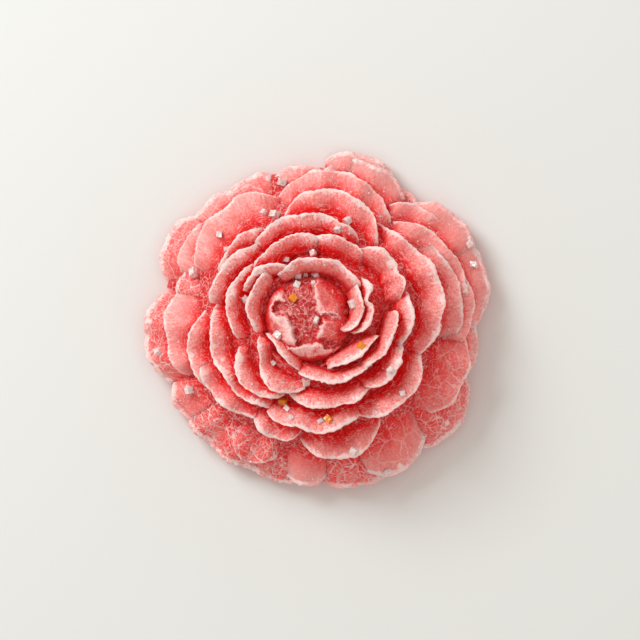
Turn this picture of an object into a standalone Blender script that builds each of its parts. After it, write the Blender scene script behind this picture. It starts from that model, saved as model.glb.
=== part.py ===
"""Hard flower candy: a crystallised sugar-jelly blossom, moulded as one piece on a flat back.

The candy is a low dome with six whorls of overlapping petals round a closed bud, and coarse sugar
crystals stuck to it. Petals are thick curved sheets that grow out of a turned core. Everything is
fused into one solid that rests on its flat back at z = 0. Units are metres, +Z is up, and the
origin is on the floor under the middle of the blossom.
"""

import math
import random
from typing import NamedTuple

import bmesh
import bpy
from mathutils import Euler, Matrix, Vector
from mathutils.bvhtree import BVHTree

MM = 0.001
CANDY_NAME = "flower_candy"

# How late a rim turns back, and how late it dips, towards the two ends of a petal.
RIM_POWER = 2.5
DIP_POWER = 5.0
# Length of rim for each column of faces, and the wavelength of its ruffle.
COLUMN_STEP = 2.7
MIN_COLUMNS = 6
PETAL_ROWS = 3
RUFFLE_LENGTH = 9.5
# The petals of the lowest whorl run down through the floor, which then cuts them flat.
FLOOR_OVERLAP = 1.5
FOOT_SCALE = 0.955
CUTTER_SIDE = 120.0

# Coarse sugar: how uneven a crystal is, how far its middle stands out and the seed of its turn.
CRYSTAL_SIDES = (0.7, 1.1)
CRYSTAL_STAND = 0.2
CRYSTAL_SEED = 4

CORE_SEGMENTS = 40
BUD_SEGMENTS = 40

# Torn ridges on the bud: width of the steep side, how they taper, how the lobe slopes and the
# height below which the bud's side stays smooth.
RIDGE_CLIFF = 0.7
RIDGE_TAPER = 1.4
RIDGE_END = 0.3
RIDGE_POWER = 1.4
RIDGE_FLOOR = 22.5


class Whorl(NamedTuple):
    """A ring of petals, in millimetres.

    root and belly are offsets outwards and upwards from the rim, which shape the petal's profile.
    dip lowers the two ends of each petal.
    """

    rim_height: float
    root: tuple
    belly: tuple
    rim_wall: float
    root_wall: float
    ruffle: float
    dip: float


class Petal(NamedTuple):
    """One petal, seen from above. Angles are degrees anticlockwise from +X, lengths millimetres.

    bearing and spread give the middle and the half width, reach the radius of the rim there.
    tilt carries one end of the rim outwards, fall brings both ends in. level lifts the petal,
    lean lifts one end over its neighbour, and a notch is (bearing, depth, width) in the rim.
    """

    bearing: float
    spread: float
    reach: float
    tilt: float = 0.0
    fall: float = 3.0
    level: float = 0.0
    lean: float = 0.0
    notch: tuple = None


WHORLS = {
    "base": Whorl(5.6, (-12.0, 6.0), (-3.5, 5.0), 1.6, 3.0, 0.5, 2.6),
    "outer": Whorl(12.6, (-11.0, 2.0), (-4.5, 2.6), 1.3, 2.6, 0.6, 2.6),
    "open": Whorl(18.6, (-9.5, -4.5), (-5.2, 0.3), 1.2, 2.4, 0.6, 2.6),
    "middle": Whorl(22.8, (-7.5, -6.5), (-4.2, 0.0), 1.1, 2.2, 0.5, 2.2),
    "inner": Whorl(25.8, (-5.8, -7.5), (-3.4, -0.3), 1.1, 2.0, 0.45, 2.9),
    "heart": Whorl(28.2, (-3.6, -7.5), (-2.4, -0.6), 1.0, 1.8, 0.35, 2.2),
}

PETALS = {
    "base": [
        Petal(15, 24, 38.8, tilt=0.7, fall=9.2, level=0.3),
        Petal(36, 20, 38.6, tilt=-2.2, fall=6.5, level=0.5),
        Petal(55, 11, 34.8, fall=3.5, level=-1.4),
        Petal(74, 13, 38.2, fall=2.6, level=-1.0),
        Petal(71, 19, 36.7, fall=4.8, level=0.8),
        Petal(97, 14, 34.5, fall=3.0, level=0.2),
        Petal(116, 13, 35.3, fall=3.5, level=-0.4),
        Petal(133, 12, 35.8, fall=2.5, level=0.3),
        Petal(151, 15, 38.0, tilt=-0.3, fall=4.0, level=-0.6),
        Petal(186, 20, 38.2, tilt=0.2, fall=5.3, level=0.4),
        Petal(211, 10, 36.2, tilt=0.5, fall=2.2),
        Petal(231, 20, 36.6, fall=1.9, notch=(229, 0.6, 4)),
        Petal(255, 12, 36.3, fall=1.6, level=-0.6),
        Petal(266, 12, 36.1, tilt=-0.4, fall=5.7, level=1.2),
        Petal(286, 16, 37.6, tilt=0.2, fall=3.1),
        Petal(302, 20, 37.6, tilt=-1.3, fall=9.2, level=2.0),
        Petal(324, 19, 38.7, tilt=-0.2, fall=5.7, level=-0.4),
        Petal(350, 14, 35.9, fall=3.1, level=-1.2),
    ],
    "outer": [
        Petal(6, 22, 34.7, tilt=1.1, fall=6.5, level=-1.2),
        Petal(49, 11, 33.9, tilt=-2.6, fall=2.4, level=-3.0, lean=0.8),
        Petal(26, 28, 33.4, tilt=-2.4, fall=3.6, level=0.2, lean=1.6),
        Petal(17, 26, 32.0, tilt=-1.4, fall=3.4, level=1.6, lean=0.8),
        Petal(80, 29, 33.2, tilt=0.9, fall=6.5, level=0.6, lean=-0.8, notch=(66, 0.8, 3)),
        Petal(134, 30, 32.8, tilt=-0.8, fall=6.6, level=0.6, lean=-0.4, notch=(131, 0.7, 5)),
        Petal(148, 13, 34.2, fall=3.0, level=-1.8),
        Petal(164, 8, 32.0, tilt=0.2, fall=2.2, level=-1.6),
        Petal(185, 18, 33.9, fall=3.1, notch=(185, 0.8, 5)),
        Petal(243, 12, 34.5, fall=5.2, level=-2.4),
        Petal(338, 20, 35.0, fall=3.9, level=-0.6),
    ],
    "open": [
        Petal(18, 43, 28.3, tilt=2.0, fall=5.0, level=0.4, lean=-1.0, notch=(42, 2.3, 16)),
        Petal(79.5, 30, 28.5, tilt=1.5, fall=7.0, level=0.4, lean=-0.8),
        Petal(192, 19, 28.5, tilt=1.9, fall=3.0, level=-0.8),
        Petal(221, 21, 27.2, tilt=-1.9, fall=2.1, level=-0.2, lean=-0.6),
        Petal(249, 13, 27.0, tilt=-0.2, fall=2.6, level=0.4),
        Petal(282, 21, 30.2, fall=5.1, level=-1.2),
    ],
    "middle": [
        Petal(96, 33, 23.2, tilt=0.8, fall=2.5, level=0.4),
        Petal(137, 18, 24.8, fall=1.7, level=-1.6),
        Petal(148, 22, 23.3, tilt=1.3, fall=1.2),
        Petal(208, 40, 23.4, tilt=-0.6, fall=2.5, level=-0.8),
        Petal(268, 27, 23.8, fall=1.7, level=0.4, notch=(260, 0.6, 5)),
        Petal(318, 24, 25.5, tilt=0.8, fall=2.5, level=-0.6),
    ],
    "inner": [
        Petal(222, 24, 20.7, tilt=-0.2, fall=3.4, level=-1.2),
        Petal(226, 34, 17.1, tilt=1.0, fall=3.4, level=0.4, notch=(209, 2.1, 12)),
        Petal(280, 33, 18.8, tilt=0.8, fall=1.5, level=-0.6, notch=(287, 0.6, 5)),
        Petal(327, 22, 20.0, tilt=0.3, fall=2.5, level=-0.3),
        Petal(0, 19, 20.5, tilt=1.0, fall=1.3, level=-0.8),
        Petal(37, 23, 21.1, fall=3.0, level=-0.4, notch=(31, 0.8, 3)),
        Petal(77, 24, 18.6, fall=1.4, level=-0.3),
        Petal(113, 27, 19.2, fall=1.6, notch=(127, 0.6, 5)),
        Petal(165, 27, 19.8, tilt=-0.6, fall=2.1, level=-0.6),
    ],
    "heart": [
        Petal(13, 31, 12.6, tilt=2.5, fall=1.5, notch=(24, 1.7, 6)),
        Petal(84, 46, 13.5, tilt=0.6, fall=0.9),
        Petal(136, 21, 16.5, tilt=2.2, fall=1.6, level=-0.3),
        Petal(162, 28, 15.3, tilt=-0.8, fall=1.3, level=-0.5),
        Petal(222, 29, 10.2, fall=-1.2, level=-0.6),
        Petal(286, 36, 13.5, tilt=1.7, fall=0.4, level=-0.5),
        Petal(315, 32, 11.3, tilt=1.6, fall=-0.8, level=-0.2),
        Petal(338, 30, 16.0, tilt=1.9, fall=0.8, level=-0.8),
        Petal(12, 32, 9.9, tilt=2.6, fall=0.8, level=0.2),
    ],
}

# The bud's dome, as radius and height, about its own axis.
BUD_CENTRE = (-1.8, 0.7)
BUD_PROFILE = [
    (0.0, 26.7),
    (1.2, 26.7),
    (2.4, 26.7),
    (3.6, 26.7),
    (4.6, 26.6),
    (5.5, 26.5),
    (6.4, 26.3),
    (7.2, 25.9),
    (8.0, 25.2),
    (8.6, 24.2),
    (9.1, 23.0),
    (9.5, 19.5),
    (9.5, 17.0),
    (0.0, 16.0),
]

# The turned core, as radius and height, from the bud's bed down past the floor.
CORE_PROFILE = [
    (0.0, 21.0),
    (9.5, 22.4),
    (11.0, 23.4),
    (12.4, 23.6),
    (14.5, 22.0),
    (17.0, 20.8),
    (19.5, 19.2),
    (22.0, 17.8),
    (24.5, 15.2),
    (27.0, 12.4),
    (29.5, 9.2),
    (32.6, 6.2),
    (34.0, 4.0),
    (33.0, -FLOOR_OVERLAP),
    (0.0, -FLOOR_OVERLAP),
]


class Ridge(NamedTuple):
    """A torn edge on the bud, in millimetres, with the lobe on the right of its line of travel.

    height is how far it stands over the bud's dome and reach how far its lobe slopes away.
    """

    height: float
    reach: float
    line: list


BUD_RIDGES = [
    Ridge(1.7, 4.0, [(5.0, 1.0), (3.3, 1.8), (1.9, 1.9), (0.7, 1.7), (0.4, 2.5), (0.1, 4.1), (-0.3, 6.9), (0.2, 9.4)]),
    Ridge(1.3, 3.0, [(0.2, -3.9), (0.4, -2.7), (1.0, -1.6), (1.4, -0.4), (1.3, 0.4), (1.3, 1.1)]),
    Ridge(1.0, 2.2, [(1.2, 1.1), (1.9, 1.4), (3.3, 1.3), (5.0, 0.6)]),
    Ridge(
        1.7,
        2.6,
        [
            (-7.2, -4.6),
            (-5.8, -5.5),
            (-4.6, -5.8),
            (-3.5, -5.3),
            (-1.8, -5.1),
            (0.2, -4.9),
            (1.2, -5.3),
            (1.7, -6.1),
            (3.0, -6.2),
            (4.4, -5.8),
            (6.0, -5.0),
        ],
    ),
    Ridge(
        2.0,
        3.2,
        [
            (-7.0, 4.5),
            (-8.3, 4.6),
            (-9.2, 4.1),
            (-9.7, 2.9),
            (-9.3, 1.5),
            (-8.2, 0.8),
            (-7.0, 0.8),
            (-6.2, 0.1),
            (-5.7, -1.2),
            (-5.3, -2.7),
            (-4.9, -4.1),
            (-4.5, -5.4),
        ],
    ),
]

# The larger sugar crystals, as bearing, radius and side: the clear ones, then the amber ones.
CRYSTALS = [
    (112, 24.6, 2.0),
    (116, 26.3, 1.2),
    (73, 22.8, 1.3),
    (77, 20.2, 1.2),
    (93, 14.9, 1.3),
    (116, 15.0, 1.2),
    (138, 28.2, 1.3),
    (141, 24.7, 1.4),
    (163, 16.3, 1.4),
    (112, 10.7, 1.2),
    (105, 10.1, 1.1),
    (91, 9.6, 1.5),
    (117, 8.9, 1.2),
    (94, 8.0, 1.0),
    (26, 8.6, 1.6),
    (133, 0.3, 1.3),
    (199, 8.5, 1.7),
    (223, 12.7, 1.4),
    (259, 13.2, 1.5),
    (285, 10.4, 0.8),
    (251, 19.7, 1.2),
    (255, 21.1, 1.2),
    (158, 28.8, 1.7),
    (104, 31.2, 1.6),
    (27, 37.1, 1.2),
    (20, 36.3, 1.3),
    (295, 36.2, 1.4),
    (272, 21.3, 1.2),
    (208, 31.5, 1.6),
    (191, 35.2, 1.5),
    (286, 28.9, 1.4),
    (327, 18.8, 1.2),
    (320, 23.9, 1.3),
    (136, 7.1, 1.5),
    (331, 10.9, 1.5),
    (247, 18.8, 1.5),
    (277, 21.0, 1.5),
]


def rim_point(whorl, petal, share):
    """Radius, height and bearing of the rim, for share from -1 to 1 across the petal."""
    bearing = petal.bearing + petal.spread * share
    end = abs(share) ** RIM_POWER
    radius = petal.reach + petal.tilt * share - petal.fall * end
    if petal.notch:
        middle, depth, width = petal.notch
        radius -= depth * math.exp(-(((bearing - middle) / width) ** 2))
    arc = math.radians(petal.spread) * petal.reach * share
    ruffle = whorl.ruffle * math.sin(math.tau * arc / RUFFLE_LENGTH + petal.bearing)
    dip = whorl.dip * abs(share) ** DIP_POWER
    height = whorl.rim_height + petal.level + petal.lean * share + ruffle - dip
    return radius, height, math.radians(bearing)


def profile_point(root, belly, along):
    """Offset from the rim and unit direction of growth, for along from 0 at the root to 1."""
    back = 1 - along
    offset = [back * back * start + 2 * along * back * middle for start, middle in zip(root, belly)]
    growth = [2 * back * (middle - start) - 2 * along * middle for start, middle in zip(root, belly)]
    length = math.hypot(*growth)
    return offset, [part / length for part in growth]


def petal_points(whorl, petal, share, along):
    """The two points, on the upper face and under it, of one place on a petal."""
    radius, height, bearing = rim_point(whorl, petal, share)
    (out, up), (grow_out, grow_up) = profile_point(whorl.root, whorl.belly, along)
    wall = whorl.root_wall + (whorl.rim_wall - whorl.root_wall) * along
    upper = radius + out, height + up
    lower = upper[0] + wall * grow_up, upper[1] - wall * grow_out
    if whorl is WHORLS["base"]:
        lower = upper[0] * FOOT_SCALE, -FLOOR_OVERLAP
    across = Vector((math.cos(bearing), math.sin(bearing), 0))
    return [(across * r + Vector((0, 0, z))) * MM for r, z in (upper, lower)]


def closed_mesh(name, points, faces):
    """A mesh from points and faces, with its faces turned outwards."""
    shape = bmesh.new()
    corners = [shape.verts.new(point) for point in points]
    for face in faces:
        shape.faces.new([corners[i] for i in face])
    bmesh.ops.recalc_face_normals(shape, faces=shape.faces)
    mesh = bpy.data.meshes.new(name)
    shape.to_mesh(mesh)
    shape.free()
    return mesh


def petal_mesh(name, whorl, petal):
    """One petal as a closed sheet: a grid of points above, one below, and a wall round both."""
    rim_length = 2 * math.radians(petal.spread) * petal.reach
    columns = max(MIN_COLUMNS, round(rim_length / COLUMN_STEP))
    rows = PETAL_ROWS
    width = rows + 1
    upper, lower = [], []
    for column in range(columns + 1):
        for row in range(width):
            above, below = petal_points(whorl, petal, 2 * column / columns - 1, row / rows)
            upper.append(above)
            lower.append(below)
    under = len(upper)
    faces = []
    for column in range(columns):
        for row in range(rows):
            a = column * width + row
            quad = [a, a + 1, a + width + 1, a + width]
            faces += [quad, [i + under for i in quad]]
        root, rim = column * width, column * width + rows
        for edge in (root, rim):
            faces.append([edge, edge + width, edge + width + under, edge + under])
    for row in range(rows):
        for edge in (row, columns * width + row):
            faces.append([edge, edge + 1, edge + 1 + under, edge + under])
    return closed_mesh(name, upper + lower, faces)


def ridge_lift(ridge, spot):
    """How far a torn ridge raises a place on the bud: a steep drop on one side, a slope on the other."""
    corners = [Vector(corner) for corner in ridge.line]
    travelled, nearest, aside, way = 0.0, math.inf, 0.0, 0.0
    for start, end in zip(corners, corners[1:]):
        run = end - start
        share = min(max((spot - start).dot(run) / run.length_squared, 0), 1)
        gap = spot - start - run * share
        if gap.length < nearest:
            nearest, aside, way = gap.length, run.y * gap.x - run.x * gap.y, travelled + share * run.length
        travelled += run.length
    taper = min(min(way, travelled - way) / RIDGE_TAPER, 1)
    strength = RIDGE_END + (1 - RIDGE_END) * taper
    if way in (0, travelled):
        strength *= math.exp(-((nearest / RIDGE_CLIFF) ** 2))
    reach, power = (ridge.reach, RIDGE_POWER) if aside > 0 else (RIDGE_CLIFF, 2)
    return ridge.height * strength * math.exp(-((nearest / reach) ** power))


def turned_mesh(name, profile, segments, centre=(0.0, 0.0), ridges=()):
    """A solid turned about an upright axis from a profile that starts and ends on that axis.

    Ridges are torn edges that stand up from its top.
    """
    axis = Vector((*centre, 0))
    points = [axis + Vector((0, 0, height)) for _, height in (profile[0], profile[-1])]
    for radius, height in profile[1:-1]:
        for step in range(segments):
            angle = math.tau * step / segments
            points.append(axis + Vector((radius * math.cos(angle), radius * math.sin(angle), height)))
    faces = []
    last_ring = 2 + (len(profile) - 3) * segments
    for step in range(segments):
        after = (step + 1) % segments
        faces.append([0, 2 + step, 2 + after])
        faces.append([1, last_ring + step, last_ring + after])
        for ring in range(2, last_ring, segments):
            faces.append([ring + step, ring + after, ring + segments + after, ring + segments + step])
    for point in points:
        if point.z > RIDGE_FLOOR:
            point.z += max((ridge_lift(ridge, point.to_2d()) for ridge in ridges), default=0)
    return closed_mesh(name, [point * MM for point in points], faces)


def crystal_mesh(name, surface, bearing, radius, side, draw):
    """A sugar crystal: a small uneven box, turned at random and sunk a little into the surface."""
    spot = Vector((math.cos(math.radians(bearing)), math.sin(math.radians(bearing)), 0)) * radius * MM
    above = spot + Vector((0, 0, CUTTER_SIDE * MM))
    hit, normal, _, _ = surface.ray_cast(above, Vector((0, 0, -1)))
    turn = Euler([draw.uniform(0, math.pi) for _ in range(3)]).to_matrix().to_4x4()
    sides = [side * draw.uniform(*CRYSTAL_SIDES) * MM for _ in range(3)]
    centre = hit + normal * CRYSTAL_STAND * side * MM
    shape = bmesh.new()
    place = Matrix.Translation(centre) @ turn @ Matrix.Diagonal((*sides, 1))
    bmesh.ops.create_cube(shape, size=1, matrix=place)
    mesh = bpy.data.meshes.new(name)
    shape.to_mesh(mesh)
    shape.free()
    return mesh


def add_object(name, mesh, collection):
    """A new object for a mesh, linked to a collection."""
    made = bpy.data.objects.new(name, mesh)
    collection.objects.link(made)
    return made


def fuse(target, operation, meshes):
    """Joins meshes to the target, or cuts them from it, and keeps only the outer skin."""
    helpers = bpy.data.collections.new("helpers")
    bpy.context.scene.collection.children.link(helpers)
    for mesh in meshes:
        add_object(mesh.name, mesh, helpers)
    modifier = target.modifiers.new(operation, "BOOLEAN")
    modifier.operation = operation
    modifier.operand_type = "COLLECTION"
    modifier.collection = helpers
    modifier.solver = "MANIFOLD"
    graph = bpy.context.evaluated_depsgraph_get()
    fused = bpy.data.meshes.new_from_object(target.evaluated_get(graph))
    target.modifiers.remove(modifier)
    target.data = fused
    for helper in list(helpers.objects):
        bpy.data.objects.remove(helper)
    bpy.data.collections.remove(helpers)
    keep_outer_skin(target.data)


def keep_outer_skin(mesh):
    """Drops loose scraps and the walls of sealed hollows, which fills them."""
    shape = bmesh.new()
    shape.from_mesh(mesh)
    unseen = set(shape.faces)
    skins = []
    while unseen:
        skin = [unseen.pop()]
        for face in skin:
            for edge in face.edges:
                beyond = [other for other in edge.link_faces if other in unseen] if edge.is_manifold else []
                unseen.difference_update(beyond)
                skin.extend(beyond)
        skins.append(skin)
    skins.sort(key=len)
    scraps = [face for skin in skins[:-1] for face in skin]
    bmesh.ops.delete(shape, geom=scraps, context="FACES")
    shape.to_mesh(mesh)
    shape.free()


def floor_cutter():
    """A slab below the floor, which cuts the candy's back flat."""
    shape = bmesh.new()
    middle = Matrix.Translation((0, 0, -CUTTER_SIDE / 2 * MM))
    bmesh.ops.create_cube(shape, size=CUTTER_SIDE * MM, matrix=middle)
    mesh = bpy.data.meshes.new("floor")
    shape.to_mesh(mesh)
    shape.free()
    return mesh


def centre_on_floor(mesh):
    """Moves the mesh sideways until the middle of its outline is over the origin."""
    corners = [vertex.co for vertex in mesh.vertices]
    middle = [(min(c[axis] for c in corners) + max(c[axis] for c in corners)) / 2 for axis in (0, 1)]
    mesh.transform(Matrix.Translation((-middle[0], -middle[1], 0)))


def candy_material():
    """Frosted red sugar jelly."""
    material = bpy.data.materials.new("frosted_sugar_jelly")
    material.use_nodes = True
    shader = material.node_tree.nodes["Principled BSDF"]
    shader.inputs["Base Color"].default_value = (0.80, 0.19, 0.17, 1)
    shader.inputs["Roughness"].default_value = 0.5
    shader.inputs["Metallic"].default_value = 0.0
    return material


def main():
    for thing in list(bpy.data.objects):
        bpy.data.objects.remove(thing)
    core = turned_mesh("core", CORE_PROFILE, CORE_SEGMENTS)
    candy = add_object(CANDY_NAME, core, bpy.context.scene.collection)
    bud = turned_mesh("bud", BUD_PROFILE, BUD_SEGMENTS, BUD_CENTRE, BUD_RIDGES)
    petals = [
        petal_mesh(f"{ring}_petal_{number}", WHORLS[ring], petal)
        for ring, row in PETALS.items()
        for number, petal in enumerate(row)
    ]
    fuse(candy, "UNION", [bud, *petals])
    fuse(candy, "DIFFERENCE", [floor_cutter()])
    skin = bmesh.new()
    skin.from_mesh(candy.data)
    surface = BVHTree.FromBMesh(skin)
    skin.free()
    draw = random.Random(CRYSTAL_SEED)
    crystals = [
        crystal_mesh(f"crystal_{number}", surface, *crystal, draw)
        for number, crystal in enumerate(CRYSTALS)
    ]
    fuse(candy, "UNION", crystals)
    centre_on_floor(candy.data)
    candy.data.materials.clear()
    candy.data.materials.append(candy_material())
    candy.data.shade_smooth()
    candy.data.set_sharp_from_angle(angle=math.radians(35))


main()
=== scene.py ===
import math
import random
from functools import partial
from typing import NamedTuple

import bpy
import numpy as np
from bpy.props import FloatProperty, FloatVectorProperty, IntProperty, PointerProperty
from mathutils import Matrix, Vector
from mathutils.bvhtree import BVHTree


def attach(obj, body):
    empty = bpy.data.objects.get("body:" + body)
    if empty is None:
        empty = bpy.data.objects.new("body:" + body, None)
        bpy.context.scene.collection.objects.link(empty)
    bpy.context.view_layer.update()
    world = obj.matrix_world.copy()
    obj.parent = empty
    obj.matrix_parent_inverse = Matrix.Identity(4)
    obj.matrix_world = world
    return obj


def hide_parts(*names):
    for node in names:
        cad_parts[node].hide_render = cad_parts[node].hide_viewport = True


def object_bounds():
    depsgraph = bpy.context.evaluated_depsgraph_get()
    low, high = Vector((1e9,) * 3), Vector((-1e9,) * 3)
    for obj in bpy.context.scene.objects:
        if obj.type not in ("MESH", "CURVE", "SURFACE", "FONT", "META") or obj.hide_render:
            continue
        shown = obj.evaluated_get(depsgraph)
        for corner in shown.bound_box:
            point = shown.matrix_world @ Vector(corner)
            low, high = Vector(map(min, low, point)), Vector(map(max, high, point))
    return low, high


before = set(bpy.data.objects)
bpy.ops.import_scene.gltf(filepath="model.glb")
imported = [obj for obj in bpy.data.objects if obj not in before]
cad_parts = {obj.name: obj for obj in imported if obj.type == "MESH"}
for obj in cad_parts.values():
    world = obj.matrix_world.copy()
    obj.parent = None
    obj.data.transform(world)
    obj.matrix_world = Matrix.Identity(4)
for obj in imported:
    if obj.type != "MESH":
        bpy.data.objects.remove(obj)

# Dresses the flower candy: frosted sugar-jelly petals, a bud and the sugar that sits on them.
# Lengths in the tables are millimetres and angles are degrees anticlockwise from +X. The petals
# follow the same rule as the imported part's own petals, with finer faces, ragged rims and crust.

bl_info = {
    "name": "Flower candy",
    "version": (1, 0, 0),
    "blender": (4, 5, 0),
    "location": "View3D > Sidebar > Flower candy",
    "description": "Makes a hard sugar-jelly blossom with crystals on it",
    "category": "Add Mesh",
}

MM = 0.001
CANDY_NODE = "flower_candy"
CAD_LOW, CAD_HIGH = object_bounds()

# The whorls' common centre, from the middle of the blossom's outline.
BLOSSOM_CENTRE = (0.09, -0.31)

# The petal rule, as in the part.
RIM_POWER = 2.5
DIP_POWER = 5.0
RUFFLE_LENGTH = 9.5
FOOT_SCALE = 0.9645


class Whorl(NamedTuple):
    """A ring of petals, in millimetres.

    root and belly are offsets outwards and upwards from the rim, which shape the petal's profile.
    dip lowers the two ends of each petal and crust is how much the rims are crusted.
    """

    rim_height: float
    root: tuple
    belly: tuple
    rim_wall: float
    root_wall: float
    ruffle: float
    dip: float
    crust: float


class Petal(NamedTuple):
    """One petal, seen from above.

    bearing and spread give the middle and the half width, reach the radius of the rim there.
    tilt carries one end of the rim outwards, fall brings both ends in. level lifts the petal,
    lean lifts one end over its neighbour, and a notch is (bearing, depth, width) in the rim.
    cracked is how far its face has crystallised into a cracked crust.
    """

    bearing: float
    spread: float
    reach: float
    tilt: float = 0.0
    fall: float = 3.0
    level: float = 0.0
    lean: float = 0.0
    notch: tuple = None
    cracked: float = 0.25


WHORLS = {
    "base": Whorl(5.6, (-12.0, 6.0), (-3.5, 5.0), 1.6, 3.0, 0.5, 2.6, 0.6),
    "outer": Whorl(12.6, (-11.0, 2.0), (-4.5, 2.6), 1.1, 2.6, 0.6, 2.6, 0.7),
    "open": Whorl(18.6, (-9.5, -4.5), (-5.2, 0.3), 0.65, 2.4, 0.6, 2.6, 0.8),
    "middle": Whorl(22.8, (-7.5, -6.5), (-4.2, 0.0), 0.5, 2.2, 0.5, 2.2, 0.9),
    "inner": Whorl(25.8, (-5.8, -7.5), (-3.4, -0.3), 0.45, 2.0, 0.45, 2.9, 1.0),
    "heart": Whorl(28.2, (-3.6, -7.5), (-2.4, -0.6), 0.42, 1.8, 0.35, 2.2, 1.0),
}

PETALS = {
    "base": [
        Petal(15, 24, 38.8, tilt=0.7, fall=9.2, level=0.3, cracked=0.3),
        Petal(36, 20, 38.6, tilt=-2.2, fall=6.5, level=0.5, cracked=0.1),
        Petal(55, 11, 34.8, fall=3.5, level=-1.4, cracked=0.1),
        Petal(74, 13, 38.2, fall=2.6, level=-1.0),
        Petal(71, 19, 36.7, fall=4.8, level=0.8),
        Petal(97, 14, 34.5, fall=3.0, level=0.2, cracked=0.4),
        Petal(116, 13, 35.3, fall=3.5, level=-0.4, cracked=0.5),
        Petal(133, 12, 35.8, fall=2.5, level=0.3, cracked=0.4),
        Petal(151, 15, 38.0, tilt=-0.3, fall=4.0, level=-0.6, cracked=0.6),
        Petal(186, 20, 38.2, tilt=0.2, fall=5.3, level=0.4, cracked=0.7),
        Petal(211, 10, 36.2, tilt=0.5, fall=2.2, cracked=0.55),
        Petal(231, 20, 36.6, fall=1.9, notch=(229, 0.6, 4), cracked=1.0),
        Petal(255, 12, 36.3, fall=1.6, level=-0.6, cracked=1.0),
        Petal(266, 12, 36.1, tilt=-0.4, fall=5.7, level=1.2, cracked=0.2),
        Petal(286, 16, 37.6, tilt=0.2, fall=3.1, cracked=0.8),
        Petal(302, 20, 37.6, tilt=-1.3, fall=9.2, level=2.0, cracked=0.4),
        Petal(324, 19, 38.7, tilt=-0.2, fall=5.7, level=-0.4, cracked=0.7),
        Petal(350, 14, 35.9, fall=3.1, level=-1.2),
    ],
    "outer": [
        Petal(6, 22, 34.7, tilt=1.1, fall=6.5, level=-1.2),
        Petal(49, 11, 33.9, tilt=-2.6, fall=2.4, level=-3.0, lean=0.8, cracked=0.1),
        Petal(26, 28, 33.4, tilt=-2.4, fall=3.6, level=0.2, lean=1.6, cracked=0.3),
        Petal(17, 26, 32.0, tilt=-1.4, fall=3.4, level=1.6, lean=0.8, cracked=0.3),
        Petal(80, 29, 33.2, tilt=0.9, fall=6.5, level=0.6, lean=-0.8, notch=(66, 0.8, 3)),
        Petal(134, 30, 32.8, tilt=-0.8, fall=6.6, level=0.6, lean=-0.4, notch=(131, 0.7, 5), cracked=0.0),
        Petal(148, 13, 34.2, fall=3.0, level=-1.8),
        Petal(164, 8, 32.0, tilt=0.2, fall=2.2, level=-1.6, cracked=0.8),
        Petal(185, 18, 33.9, fall=3.1, notch=(185, 0.8, 5), cracked=0.0),
        Petal(243, 12, 34.5, fall=5.2, level=-2.4, cracked=0.9),
        Petal(338, 20, 35.0, fall=3.9, level=-0.6, cracked=0.55),
    ],
    "open": [
        Petal(18, 43, 28.3, tilt=2.0, fall=5.0, level=0.4, lean=-1.0, notch=(42, 2.3, 16), cracked=0.0),
        Petal(79.5, 30, 28.5, tilt=1.5, fall=7.0, level=0.4, lean=-0.8, cracked=0.2),
        Petal(192, 19, 28.5, tilt=1.9, fall=3.0, level=-0.8, cracked=0.1),
        Petal(221, 21, 27.2, tilt=-1.9, fall=2.1, level=-0.2, lean=-0.6),
        Petal(249, 13, 27.0, tilt=-0.2, fall=2.6, level=0.4, cracked=0.4),
        Petal(282, 21, 30.2, fall=5.1, level=-1.2),
    ],
    "middle": [
        Petal(96, 33, 23.2, tilt=0.8, fall=2.5, level=0.4),
        Petal(137, 18, 24.8, fall=1.7, level=-1.6),
        Petal(148, 22, 23.3, tilt=1.3, fall=1.2),
        Petal(208, 40, 23.4, tilt=-0.6, fall=2.5, level=-0.8),
        Petal(268, 27, 23.8, fall=1.7, level=0.4, notch=(260, 0.6, 5)),
        Petal(318, 24, 25.5, tilt=0.8, fall=2.5, level=-0.6),
    ],
    "inner": [
        Petal(222, 24, 20.7, tilt=-0.2, fall=3.4, level=-1.2),
        Petal(226, 34, 17.1, tilt=1.0, fall=3.4, level=0.4, notch=(209, 2.1, 12)),
        Petal(280, 33, 18.8, tilt=0.8, fall=1.5, level=-0.6, notch=(287, 0.6, 5)),
        Petal(327, 22, 20.0, tilt=0.3, fall=2.5, level=-0.3),
        Petal(0, 19, 20.5, tilt=1.0, fall=1.3, level=-0.8),
        Petal(37, 23, 21.1, fall=3.0, level=-0.4, notch=(31, 0.8, 3)),
        Petal(77, 24, 18.6, fall=1.4, level=-0.3, cracked=0.4),
        Petal(113, 27, 19.2, fall=1.6, notch=(127, 0.6, 5), cracked=0.4),
        Petal(165, 27, 19.8, tilt=-0.6, fall=2.1, level=-0.6),
    ],
    "heart": [
        Petal(13, 31, 12.6, tilt=2.5, fall=1.5, notch=(24, 1.7, 6)),
        Petal(84, 46, 13.5, tilt=0.6, fall=0.9),
        Petal(136, 21, 16.5, tilt=2.2, fall=1.6, level=-0.3),
        Petal(162, 28, 15.3, tilt=-0.8, fall=1.3, level=-0.5),
        Petal(222, 29, 10.2, fall=-1.2, level=-0.6),
        Petal(286, 36, 13.5, tilt=1.7, fall=0.4, level=-0.5),
        Petal(315, 32, 11.3, tilt=1.6, fall=-0.8, level=-0.2),
        Petal(338, 30, 16.0, tilt=1.9, fall=0.8, level=-0.8),
        Petal(12, 32, 9.9, tilt=2.6, fall=0.8, level=0.2),
    ],
}

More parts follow.
